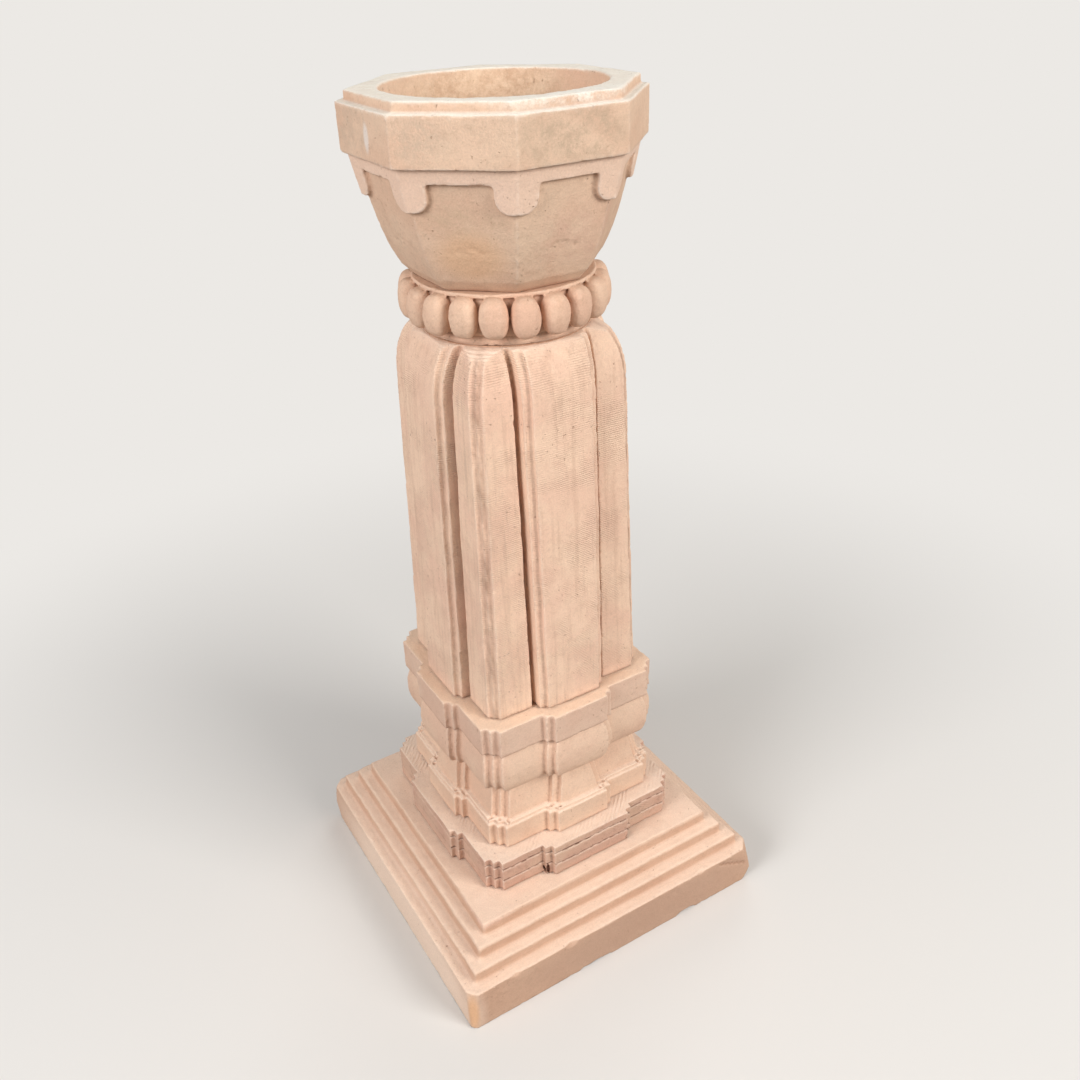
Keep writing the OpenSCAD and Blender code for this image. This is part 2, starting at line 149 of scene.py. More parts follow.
class Sheet:
    """The node tree of one material."""

    def __init__(self, name: str) -> None:
        """Starts an empty material.

        Args:
            name: The material's name.
        """
        self.material = bpy.data.materials.new(name)
        self.material.use_nodes = True
        self.tree = self.material.node_tree
        self.tree.nodes.clear()

    def node(
        self,
        kind: str,
        settings: Mapping[str, Setting] | None = None,
        inputs: Mapping[Union[int, str], Any] | None = None,
        output: Union[int, str] = 0,
    ) -> Wire:
        """Adds a node.

        Args:
            kind: The node's type.
            settings: Its settings, which are set first.
            inputs: Values or wires, by the socket's name or number.
            output: The output socket that is wanted.

        Returns:
            That output.
        """
        made = self.tree.nodes.new(kind)
        for name, value in (settings or {}).items():
            setattr(made, name, value)
        for key, value in (inputs or {}).items():
            if isinstance(value, Wire):
                self.tree.links.new(value.socket, made.inputs[key])
            else:
                made.inputs[key].default_value = value
        return Wire(self, made.outputs[output])

    def place(self) -> Wire:
        """Object coordinates, in metres."""
        return self.node("ShaderNodeTexCoord", output="Object")

    def stretched(self, place: Wire, scale: Point, turn: Point = (0.0, 0.0, 0.0)) -> Wire:
        """Coordinates scaled and turned for a pattern."""
        inputs = {"Vector": place, "Scale": scale, "Rotation": turn}
        return self.node("ShaderNodeMapping", inputs=inputs)

    def noise(
        self, place: Wire, size: float, detail: float = 3.0, rough: float = 0.55, warp: float = 0.0
    ) -> Wire:
        """Noise whose lumps are about size metres wide."""
        inputs = {"Vector": place, "Scale": 1 / size, "Detail": detail, "Roughness": rough}
        return self.node("ShaderNodeTexNoise", inputs={**inputs, "Distortion": warp})

    def strokes(self, place: Wire, pitch: float, turn: Point = (0.0, 0.0, 0.0)) -> Wire:
        """The wandering level strokes of a chisel, pitch metres apart."""
        return self.node(
            "ShaderNodeTexWave",
            {"bands_direction": "Z"},
            {
                "Vector": self.stretched(place, (1.0, 1.0, 1.0), turn),
                "Scale": WAVE_PERIOD / pitch,
                "Distortion": 3.0,
                "Detail": 2.0,
                "Detail Scale": 0.6,
            },
            "Fac",
        )

    def spot(self, place: Wire, centre: Point, size: Point) -> Wire:
        """Masks an oval spot.

        Args:
            place: The coordinates.
            centre: The spot's middle, in metres.
            size: Its half lengths along X, Y and Z.

        Returns:
            1 in the middle of the spot, and 0 from its edge.
        """
        away = self.node("ShaderNodeVectorMath", {"operation": "SUBTRACT"}, {0: place, 1: centre})
        away = self.node("ShaderNodeVectorMath", {"operation": "DIVIDE"}, {0: away, 1: size})
        reach = self.node("ShaderNodeVectorMath", {"operation": "LENGTH"}, {0: away}, "Value")
        return 1 - self.ease(reach, 0.4, 1.0)

    def cells(self, place: Wire, size: float) -> Wire:
        """The distance to the middle of the nearest of some cells about size metres wide."""
        inputs = {"Vector": place, "Scale": 1 / size}
        return self.node("ShaderNodeTexVoronoi", inputs=inputs, output="Distance")

    def ease(self, value: Wire, start: float, end: float) -> Wire:
        """0 at start and 1 at end, with soft ends."""
        return self.node(
            "ShaderNodeMapRange",
            {"interpolation_type": "SMOOTHSTEP"},
            {"Value": value, "From Min": start, "From Max": end},
        )

    def mix(self, factor: Value, first: Union[Wire, Colour], second: Union[Wire, Colour]) -> Wire:
        """Mixes two colours."""
        inputs = {0: factor, 6: first, 7: second}
        return self.node("ShaderNodeMix", {"data_type": "RGBA"}, inputs, 2)

    def relief(self, name: str) -> Wire:
        """A number that a stone's mesh carries at each point."""
        kinds = {"attribute_type": "GEOMETRY", "attribute_name": name}
        return self.node("ShaderNodeAttribute", kinds, output="Fac")

    def bump(self, height: Wire, depth: float, strength: float = 1.0) -> Wire:
        """The normal of a surface with this height, whose full range is depth metres."""
        inputs = {"Height": height, "Distance": depth, "Strength": strength}
        return self.node("ShaderNodeBump", inputs=inputs)

    def surface(self, **inputs: Any) -> bpy.types.Material:
        """Closes the material with a Principled shader.

        Args:
            inputs: Values or wires, by the socket's name with _ for a space.

        Returns:
            The finished material.
        """
        named = {name.replace("_", " "): value for name, value in inputs.items()}
        shader = self.node("ShaderNodeBsdfPrincipled", inputs=named)
        self.node_out(shader)
        return self.material

    def node_out(self, shader: Wire) -> None:
        """Joins a shader to the material's output."""
        output = self.tree.nodes.new("ShaderNodeOutputMaterial")
        self.tree.links.new(shader.socket, output.inputs["Surface"])


# Finishes


@dataclass(frozen=True)
class Spot:
    """A mark on a stone: an oval in which one colour shows through. The lengths are in metres."""

    centre: Point
    size: Point
    colour: Colour
    strength: float = 0.8
    broken: bool = True
    over_dust: bool = False


@dataclass(frozen=True)
class Sandstone:
    """Sandstone: grain, mottling, bedding, pale arrises (wear and painted highlight), tops of dust
    and painted light and shade, and seams of dirt and painted shade.

    The colours are swatches, and the sizes are in metres.
    """

    name: str
    buff: Colour = paint(233, 200, 176)
    rose: Colour = paint(228, 192, 169)
    shade: Colour = paint(206, 169, 145)
    # Below: the tops' colour is dust and painted light from above, the edge colour wear and painted
    # highlight, the seam colour dirt and painted shade, and the darkest colour the painted shade of
    # the deepest seams and cracks.
    dust_and_top_shading: Colour = paint(244, 219, 198)
    edge: Colour = paint(250, 230, 210)
    seam_dirt_and_shade: Colour = paint(158, 108, 84)
    crack_and_deep_shade: Colour = paint(92, 60, 46)
    apron: Colour = paint(236, 204, 182)
    pit: Colour = paint(150, 108, 86)
    grey: Colour = paint(196, 178, 154)
    patch_size: float = 0.07
    mottle_size: float = 0.009
    grain_size: float = 0.0016
    mottling: float = 0.35
    # How strongly the tops' dust and painted light, the arrises' wear and painted highlight, and
    # the seams' dirt and painted shade show.
    dusting_and_top_shading: float = 0.9
    edging: float = 0.75
    seam_dirt_and_shading: float = 0.85
    weathering: float = 0.0
    streaking: float = 0.0
    aproned: bool = False
    tooling: Tooling = Tooling.RUBBED
    spots: tuple[Spot, ...] = ()
    bedding_size: float = 0.11
    bedding_tilt: Point = (0.05, 0.04, 0.0)
    streak_size: float = 0.006
    grime_size: float = 0.05
    tones: tuple[float, float] = (0.78, 1.17)
    relief: float = 1.1 * MM

    def material(self) -> bpy.types.Material:
        """Builds the material, from the stone's own colours to what wear and dirt did to it, with
        painted light and shade on tops and arrises and painted shade in seams.

        Returns:
            The material.
        """
        sheet = Sheet(self.name)
        place = sheet.place()
        grain = sheet.noise(place, self.grain_size, 3.0, 0.75)
        mottle = sheet.noise(place, self.mottle_size, 5.0, 0.7)
        patch = sheet.noise(place, self.patch_size, 4.0, 0.6, 0.4)
        layers = sheet.stretched(place, (1.0, 1.0, 8.0), self.bedding_tilt)
        bedding = sheet.noise(layers, self.bedding_size, 5.0, 0.6)
        top = sheet.relief(TOP)
        arris = sheet.relief(ARRIS)
        seam_dirt_and_shade = sheet.relief(SEAM_DIRT_AND_SHADE)
        pits = self._pits(sheet, place)

        colour = sheet.mix(sheet.ease(patch, 0.38, 0.64), self.buff, self.rose)
        colour = sheet.mix(sheet.ease(bedding, 0.5, 0.72) * 0.3, colour, self.rose)
        colour = sheet.mix(sheet.ease(mottle, 0.5, 0.72) * self.mottling, colour, self.shade)
        if self.streaking > 0:
            upright = sheet.stretched(place, (1.0, 1.0, 0.05))
            runs = sheet.noise(upright, self.streak_size, 4.0, 0.65)
            colour = sheet.mix(sheet.ease(runs, 0.48, 0.68) * self.streaking, colour, self.shade)
        if self.weathering > 0:
            grime = sheet.ease(sheet.noise(place, self.grime_size, 7.0, 0.75, 0.5), 0.46, 0.66)
            colour = sheet.mix(grime * self.weathering, colour, self.grey)
        colour = self._spots(sheet, place, colour, False)
        if self.aproned:
            colour = sheet.mix(sheet.relief(APRON) * (0.6 + mottle * 0.5), colour, self.apron)
        # Tops: dust, and painted light from above; on the collar, under the bowl, painted shade.
        colour = sheet.mix(top * (0.62 + mottle * 0.6) * self.dusting_and_top_shading, colour, self.dust_and_top_shading)
        colour = self._spots(sheet, place, colour, True)
        colour = sheet.mix(pits, colour, self.pit)
        # Arrises paler: wear, and a painted highlight along the edges.
        colour = sheet.mix(arris * sheet.ease(mottle, 0.3, 0.6) * self.edging, colour, self.edge)
        # Seams darker: dirt, and painted shade in hollows and where stones meet; the deepest seams
        # and cracks get a darker painted shade.
        colour = sheet.mix(seam_dirt_and_shade * (0.7 + mottle * 0.5) * self.seam_dirt_and_shading, colour, self.seam_dirt_and_shade)
        colour = sheet.mix(sheet.ease(seam_dirt_and_shade + mottle * 0.3, 0.75, 1.2) * 0.8, colour, self.crack_and_deep_shade)
        low, high = self.tones
        limits = {"Value": grain, "To Min": low, "To Max": high}
        tone = sheet.node("ShaderNodeMapRange", inputs=limits)
        toned = {0: colour, "Scale": tone}
        colour = sheet.node("ShaderNodeVectorMath", {"operation": "SCALE"}, toned)

        marks = self._tool_marks(sheet, place, mottle)
        height = grain * 0.5 + mottle * 0.8 + marks - pits * 1.4
        return sheet.surface(
            Base_Color=colour,
            Roughness=0.84 + grain * 0.14,
            Normal=sheet.bump(height, self.relief, 0.8),
            Specular_IOR_Level=0.25,
        )

    def _pits(self, sheet: Sheet, place: Wire) -> Wire:
        """Up to 1 in the small dark pits, which lie here and there."""
        here = sheet.ease(sheet.noise(place, 0.04, 2.0), 0.42, 0.62)
        return sheet.ease(sheet.noise(place, 0.003, 2.0, 0.4), 0.68, 0.76) * here * 0.5

    def _spots(self, sheet: Sheet, place: Wire, colour: Wire, over_dust: bool) -> Wire:
        """Puts this stone's own marks on it.

        Args:
            sheet: The material's sheet.
            place: The coordinates.
            colour: The colour so far.
            over_dust: Whether these are the marks over the dust and painted top light and shade, or
                those under it.

        Returns:
            The colour with the marks.
        """
        for spot in self.spots:
            if spot.over_dust is not over_dust:
                continue
            cover = sheet.spot(place, spot.centre, spot.size) * spot.strength
            if spot.broken:
                cover = cover * sheet.ease(sheet.noise(place, 0.014, 6.0, 0.8), 0.34, 0.7)
            colour = sheet.mix(cover, colour, spot.colour)
        return colour

    def _tool_marks(self, sheet: Sheet, place: Wire, mottle: Wire) -> Wire:
        """Makes the marks that the dressing left.

        Args:
            sheet: The material's sheet.
            place: The coordinates.
            mottle: The stone's mottling, which a rubbed face shows.

        Returns:
            The height of the marks.
        """
        patches = sheet.ease(sheet.noise(place, 0.05, 3.0), 0.4, 0.6)
        if self.tooling is Tooling.COMBED:
            return sheet.strokes(place, 0.0021) * patches * 0.55
        if self.tooling is Tooling.HATCHED:
            rising = sheet.strokes(place, 0.003, (0.5, 0.5, 0.3))
            falling = sheet.strokes(place, 0.0026, (-0.6, -0.5, 0.2))
            return (rising + falling) * patches * 0.28
        return mottle * patches * 0.6


@dataclass(frozen=True)
class Mortar:
    """Recessed lime mortar with coarse sand in it."""

    name: str = "lime mortar"
    base: Colour = paint(200, 160, 134)
    damp: Colour = paint(172, 130, 104)
    sand: Colour = paint(226, 196, 168)

    def material(self) -> bpy.types.Material:
        """Builds the material.

        Returns:
            The material.
        """
        sheet = Sheet(self.name)
        place = sheet.place()
        cloud = sheet.noise(place, 0.02, 4.0)
        sand = 1 - sheet.ease(sheet.cells(place, 0.0016), 0.1, 0.45)
        colour = sheet.mix(sheet.ease(cloud, 0.35, 0.65), self.base, self.damp)
        colour = sheet.mix(sand * 0.5, colour, self.sand)
        return sheet.surface(
            Base_Color=colour,
            Roughness=0.88 + cloud * 0.1,
            Normal=sheet.bump(sand + cloud * 0.5, 0.5 * MM),
            Specular_IOR_Level=0.2,
        )


@dataclass(frozen=True)
class BarSteel:
    """Drawn steel bar with a few spots of rust."""

    name: str = "drawn steel bar"
    bright: Colour = paint(176, 177, 178)
    dull: Colour = paint(132, 131, 129)
    rust: Colour = paint(124, 74, 46)

    def material(self) -> bpy.types.Material:
        """Builds the material.

        Returns:
            The material.
        """
        sheet = Sheet(self.name)
        place = sheet.place()
        drawn = sheet.noise(sheet.stretched(place, (1.0, 1.0, 0.04)), 0.0006, 3.0)
        rust = sheet.ease(sheet.noise(place, 0.006, 5.0, 0.7), 0.56, 0.66)
        colour = sheet.mix(drawn, self.bright, self.dull)
        return sheet.surface(
            Base_Color=sheet.mix(rust, colour, self.rust),
            Metallic=1 - rust * 0.9,
            Roughness=0.32 + drawn * 0.16 + rust * 0.4,
            Normal=sheet.bump(drawn + rust * 2, 0.1 * MM),
        )


# Work on meshes. A stone's vertices carry these numbers, from 0 to 1.

ARRIS = "arris"
# Seams: where dirt and painted shade go, in hollows and where stones meet.
SEAM_DIRT_AND_SHADE = "seam_dirt_and_shade"
TOP = "top"
WORN = "worn"
APRON = "apron"
# Dirt and painted shade noted in cuts, cracks, voids and notches, added to the seams.
DIRT_AND_SHADE = "dirt_and_shade"
WEIGHT_STEPS = 16


def only(piece: bpy.types.Object) -> None:
    """Selects one object alone and makes it active.

    Args:
        piece: The object.
    """
    bpy.ops.object.select_all(action="DESELECT")
    piece.select_set(True)
    bpy.context.view_layer.objects.active = piece


def finish_modifier(piece: bpy.types.Object, kind: str, **settings: Any) -> None:
    """Adds a modifier and applies it.

    Args:
        piece: The object.
        kind: The modifier's type.
        settings: The modifier's settings, by name.
    """
    only(piece)
    modifier = piece.modifiers.new(kind.lower(), kind)
    for name, value in settings.items():
        setattr(modifier, name, value)
    bpy.ops.object.modifier_apply(modifier=modifier.name)


def copy_of_node(node: str, name: str) -> bpy.types.Object:
    """Copies a node's mesh and merges its doubles.

    Args:
        node: The node, which stays as it is.
        name: A name for the copy.

    Returns:
        The copy, free of the node's body.
    """
    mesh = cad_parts[node].data.copy()
    mesh.materials.clear()
    piece = bpy.data.objects.new(name, mesh)
    bpy.context.scene.collection.objects.link(piece)
    only(piece)
    bpy.ops.object.mode_set(mode="EDIT")
    bpy.ops.mesh.select_all(action="SELECT")
    bpy.ops.mesh.remove_doubles(threshold=0.01 * MM)
    bpy.ops.object.mode_set(mode="OBJECT")
    return piece


def break_off(piece: bpy.types.Object, point: Point, facing: Point) -> None:
    """Breaks off what lies past a plane, and closes the stone there.

    Args:
        piece: The stone.
        point: A point of the plane, in metres.
        facing: The direction in which the broken face looks.
    """
    only(piece)
    bpy.ops.object.mode_set(mode="EDIT")
    bpy.ops.mesh.select_all(action="SELECT")
    bpy.ops.mesh.bisect(plane_co=point, plane_no=facing, use_fill=True, clear_outer=True)
    bpy.ops.object.mode_set(mode="OBJECT")


@dataclass(frozen=True)
class Chip:
    """A faceted hollow, with its lengths along X, Y and Z in metres and its turn in degrees."""

    centre: Point
    size: Point
    turn: float = 0.0

    def knock_out(self, piece: bpy.types.Object) -> None:
        """Takes the hollow out of a stone.

        Args:
            piece: The stone.
        """
        bpy.ops.object.select_all(action="DESELECT")
        bpy.ops.mesh.primitive_ico_sphere_add(
            subdivisions=2,
            radius=0.5,
            location=self.centre,
            rotation=(0, 0, math.radians(self.turn)),
        )
        cutter = bpy.context.object
        cutter.scale = self.size
        finish_modifier(piece, "BOOLEAN", object=cutter, operation="DIFFERENCE", solver="EXACT")
        bpy.data.objects.remove(cutter)


def positions(piece: bpy.types.Object) -> np.ndarray:
    """Reads the vertices' places.

    Args:
        piece: The stone.

    Returns:
        One row for each vertex.
    """
    flat = np.empty(len(piece.data.vertices) * 3)
    piece.data.vertices.foreach_get("co", flat)
    return flat.reshape(-1, 3)


def facings(piece: bpy.types.Object) -> np.ndarray:
    """Reads the vertices' normals.

    Args:
        piece: The stone.

    Returns:
        One row for each vertex.
    """
    flat = np.empty(len(piece.data.vertices) * 3)
    piece.data.vertices.foreach_get("normal", flat)
    return flat.reshape(-1, 3)


def swell_of(distance: np.ndarray, width: float) -> np.ndarray:
    """A soft bump: 1 at no distance, 0 from width on."""
    return np.cos(np.clip(np.abs(distance) / width, 0, 1) * math.pi) / 2 + 0.5


def set_positions(piece: bpy.types.Object, places: np.ndarray) -> None:
    """Moves the vertices to these places."""
    piece.data.vertices.foreach_set("co", places.ravel())
    piece.data.update()


def fold(piece: bpy.types.Object, passes: int, reach: float) -> np.ndarray:
    """How far each vertex stands out of its surroundings.

    Args:
        piece: The stone.
        passes: Rounds of averaging, which set how wide the surroundings are.
        reach: The distance that counts as 1.

    Returns:
        From -1 in a seam to 1 on an arris, one number for each vertex.
    """
    mesh = piece.data
    ends = np.empty(len(mesh.edges) * 2, dtype=np.int64)
    mesh.edges.foreach_get("vertices", ends)
    first, second = ends.reshape(-1, 2).T
    start = positions(piece)
    count = len(start)
    shares = np.bincount(first, minlength=count) + np.bincount(second, minlength=count)
    middle = start.copy()
    for _ in range(passes):
        for axis in range(3):
            column = middle[:, axis]
            total = np.bincount(first, column[second], count)
            total = total + np.bincount(second, column[first], count)
            middle[:, axis] = (column + total / np.maximum(shares, 1)) / 2
    return np.clip(((start - middle) * facings(piece)).sum(1) / reach, -1, 1)


def weigh(piece: bpy.types.Object, name: str, weights: np.ndarray) -> None:
    """Stores one weight for each vertex as a vertex group, in even steps.

    Args:
        piece: The stone.
        name: The group's name.
        weights: The weights, from 0 to 1.
    """
    group = piece.vertex_groups.get(name) or piece.vertex_groups.new(name=name)
    steps = np.round(np.clip(weights, 0, 1) * WEIGHT_STEPS).astype(int)
    for step in range(WEIGHT_STEPS + 1):
        chosen = np.flatnonzero(steps == step).tolist()
        group.add(chosen, step / WEIGHT_STEPS, "REPLACE")


def carry(piece: bpy.types.Object, name: str, values: np.ndarray) -> None:
    """Stores numbers as an attribute, for the finish.

    Args:
        piece: The stone.
        name: The attribute's name.
        values: One number for each vertex.
    """
    attributes = piece.data.attributes
    attribute = attributes.get(name) or attributes.new(name, "FLOAT", "POINT")
    attribute.data.foreach_set("value", values.astype(np.float32))


def carried(piece: bpy.types.Object, name: str) -> np.ndarray:
    """Reads the numbers that carry() stored.

    Args:
        piece: The stone.
        name: The attribute's name.

    Returns:
        One number for each vertex.
    """
    values = np.empty(len(piece.data.vertices), dtype=np.float32)
    piece.data.attributes[name].data.foreach_get("value", values)
    return values


@dataclass(frozen=True)
class Ripple:
    """One displacement: how wide its lumps are, how far it moves the surface, and where.

    The sizes are in metres. A chip is taken only where the noise passes the threshold.
    """

    size: float
    height: float
    middle: float = 0.5
    group: str = ""
    threshold: float = 0.0
    softness: float = 0.12
    sideways: bool = False

    def apply(self, piece: bpy.types.Object) -> None:
        """Moves a stone's surface.

        Args:
            piece: The stone.
        """
        noise = bpy.data.textures.new("ripple", "CLOUDS")
        noise.noise_scale = self.size
        noise.noise_depth = 3
        noise.cloud_type = "COLOR" if self.sideways else "GRAYSCALE"
        if self.threshold > 0:
            noise.use_color_ramp = True
            low, high = noise.color_ramp.elements
            low.position, low.color = self.threshold, (0, 0, 0, 1)
            high.position = min(self.threshold + self.softness, 1.0)
            high.color = (1, 1, 1, 1)
        finish_modifier(
            piece,
            "DISPLACE",
            texture=noise,
            texture_coords="LOCAL",
            direction="RGB_TO_XYZ" if self.sideways else "NORMAL",
            strength=self.height,
            mid_level=self.middle,
            vertex_group=self.group,
        )
        bpy.data.textures.remove(noise)


@dataclass(frozen=True)
class Wear:
    """How worn a stone is. The sizes are in metres, and each reach is in grid cells."""

    grid: float = 1.6 * MM
    rounding: int = 2
    wander: float = 0.7 * MM
    wander_size: float = 0.05
    swell: float = 0.6 * MM
    swell_size: float = 0.02
    grit: float = 0.35 * MM
    grit_size: float = 0.0045
    chips: float = 1.8 * MM
    chip_size: float = 0.011
    chip_threshold: float = 0.6
    # Strength of a dark band at each stone's foot: dirt, and painted shade where it sits on the
    # stone below.
    foot: float = 0.7
    foot_height: float = 4 * MM
    worn_passes: int = 6
    worn_reach: float = 0.9
    noted_passes: int = 14
    noted_reach: float = 1.6
    triangles: int = 150000

    def age(self, piece: bpy.types.Object) -> None:
        """Rounds, chips and roughens a stone.

        Args:
            piece: The stone.
        """
        grid = self._spacing()
        finish_modifier(piece, "REMESH", mode="VOXEL", voxel_size=grid, use_smooth_shade=True)
        Ripple(self.wander_size, self.wander * 2, sideways=True).apply(piece)
        weigh(piece, WORN, fold(piece, self.worn_passes, self.worn_reach * grid))
        finish_modifier(piece, "SMOOTH", factor=0.5, iterations=self.rounding, vertex_group=WORN)
        Ripple(self.chip_size, -self.chips, 0.0, WORN, self.chip_threshold).apply(piece)
        Ripple(self.swell_size, self.swell, 0.6).apply(piece)
        Ripple(self.grit_size, self.grit, 0.6).apply(piece)
        piece.vertex_groups.clear()

    def note(self, piece: bpy.types.Object) -> None:
        """Notes a stone's arrises, seams and tops for the finish, and thins its mesh.

        Args:
            piece: The stone.
        """
        spread = fold(piece, self.noted_passes, self.noted_reach * self._spacing())
        carry(piece, ARRIS, np.clip(spread * 1.2 - 0.15, 0, 1))
        rise = positions(piece)[:, 2]
        # The foot band: dirt, and painted shade where the stone sits on the one below; it joins the
        # seams.
        dirt_and_shade = self.foot * swell_of(rise - rise.min(), self.foot_height)
        if DIRT_AND_SHADE in piece.data.attributes:
            dirt_and_shade = np.maximum(dirt_and_shade, carried(piece, DIRT_AND_SHADE))
        carry(piece, SEAM_DIRT_AND_SHADE, np.clip(np.maximum(-spread * 1.4 - 0.12, dirt_and_shade), 0, 1))
        carry(piece, TOP, np.clip(facings(piece)[:, 2] * 2 - 0.9, 0, 1) * (1 - dirt_and_shade))
        faces = len(piece.data.polygons) * 2
        if faces > self.triangles:
            share = self.triangles / faces
            finish_modifier(piece, "DECIMATE", decimate_type="COLLAPSE", ratio=share)

    def _spacing(self) -> float:
        return self.grid * 1.0


# The planter's stones


@dataclass
class Stone:
    """A stone that a worn copy of its node stands for."""

    node: str
    piece: str
    slot: Slot
    finish: Sandstone
    body: Body = Body.PEDESTAL
    wear: Wear = field(default_factory=Wear)

    def build(self) -> bpy.types.Object:
        """Makes the stone and hangs it on its body.

        Returns:
            The finished piece.
        """
        stone = copy_of_node(self.node, self.piece)
        self.damage(stone)
        self.wear.age(stone)
        self.roughen(stone)
        self.wear.note(stone)
        self.keep_in_place(stone)
        only(stone)
        bpy.ops.object.shade_smooth()
        stone.data.materials.append(self.finish.material())
        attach(stone, self.body.value)
        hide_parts(self.node)
        LOG.info("%s: %d faces", self.piece, len(stone.data.polygons))
        return stone

    def damage(self, stone: bpy.types.Object) -> None:
        """Breaks that this stone has, made before the wear."""

    def roughen(self, stone: bpy.types.Object) -> None:
        """Rough places that this stone has, made after the wear."""

    def keep_in_place(self, stone: bpy.types.Object) -> None:
        """Keeps the worn surface inside the node's own box."""
        low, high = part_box(self.node)
        set_positions(stone, np.clip(positions(stone), np.array(low), np.array(high)))


@dataclass
class PlinthSlab(Stone):
    """The stepped slab, with its broken corners and chipped edges."""

    node: str = "plinth_slab"
    piece: str = "worn_plinth"
    slot: Slot = Slot.PLINTH
    finish: Sandstone = Sandstone(
        "plinth sandstone",
        buff=paint(216, 178, 152),
        rose=paint(210, 170, 144),
        shade=paint(186, 148, 124),
        dust_and_top_shading=paint(246, 217, 194),
        edge=paint(242, 214, 190),
        spots=(
            # The first two spots make the near (-Y) side darker and the left (-X) side paler.
            Spot((0.03, -0.195, 0.025), (0.2, 0.03, 0.05), paint(200, 163, 140), 0.75, False),
            Spot((-0.19, -0.03, 0.02), (0.03, 0.26, 0.07), paint(250, 222, 200), 0.95, False),
            Spot((-0.19, -0.19, 0.026), (0.012, 0.012, 0.045), paint(232, 182, 140), 0.9, False),
            Spot((-0.106, -0.12, 0.096), (0.04, 0.03, 0.01), paint(236, 176, 148), 0.7),
            Spot((0.105, -0.122, 0.096), (0.05, 0.03, 0.01), paint(236, 180, 152), 0.7),
            Spot((-0.15, -0.14, 0.096), (0.05, 0.05, 0.01), paint(246, 206, 186), 0.7),
        ),
    )
    wear: Wear = Wear(grid=2.0 * MM, rounding=2, foot=0.0, triangles=195000)
    half: float = 0.19
    slab_top: float = 0.0525
    near_break: float = 0.0045
    left_break: float = 0.0045
    right_break: float = 0.0025
    chips: tuple[Chip, ...] = (
        Chip((-0.066, -0.1915, 0.0525), (0.02, 0.008, 0.012), 8),
        Chip((-0.134, -0.191, 0.0525), (0.012, 0.006, 0.008), -12),
        Chip((0.112, -0.191, 0.0535), (0.016, 0.006, 0.008), 20),
        Chip((0.0926, -0.1925, 0.0), (0.03, 0.012, 0.009), 5),
        Chip((-0.03, -0.1925, -0.001), (0.05, 0.012, 0.007), -4),
        Chip((-0.192, 0.07, 0.0525), (0.008, 0.018, 0.008), 10),
    )
    crack_start: tuple[float, float] = (0.141, 0.0483)
    crack_end: tuple[float, float] = (0.1826, 0.028)
    crack_wander: float = 1.2 * MM
    crack_width: float = 2.2 * MM
    crack_depth: float = 1.6 * MM
    face_depth: float = 4 * MM

    def damage(self, stone: bpy.types.Object) -> None:
        """Breaks the corners and knocks chips out of the edges.

        Args:
            stone: The slab.
        """
        side, top = self.half, self.slab_top
        near, left, right = side - self.near_break, side - self.left_break, side - self.right_break
        break_off(stone, (-near, -near, top), (-1, -1, 0.12))
        break_off(stone, (-near, -side, 0), (-1, -1, -1.1))
        break_off(stone, (-left, side, top / 3), (-1, 1, -0.5))
        break_off(stone, (-side, left, top / 2), (-1, 1, 0.25))
        break_off(stone, (right, -side, top / 5), (1, -1, -0.6))
        break_off(stone, (side, -right, top / 2), (1, -1, 0.4))
        for chip in self.chips:
            chip.knock_out(stone)

    def roughen(self, stone: bpy.types.Object) -> None:
        """Opens the crack at the right end of the near side.

        Args:
            stone: The slab.
        """
        places = positions(stone)
        along, up = places[:, 0], places[:, 2]
        (start, high), (end, low) = self.crack_start, self.crack_end
        line = high + (along - start) / (end - start) * (low - high)
        line = line + self.crack_wander * np.sin(along * 900)
        crack_and_deep_shade = swell_of(up - line, self.crack_width) * (along > start) * (along < end)
        crack_and_deep_shade = crack_and_deep_shade * (places[:, 1] < -self.half + self.face_depth)
        places[:, 1] += self.crack_depth * crack_and_deep_shade
        set_positions(stone, places)
        # The crack is darkened with dirt and painted shade.
        carry(stone, DIRT_AND_SHADE, crack_and_deep_shade * 0.7)


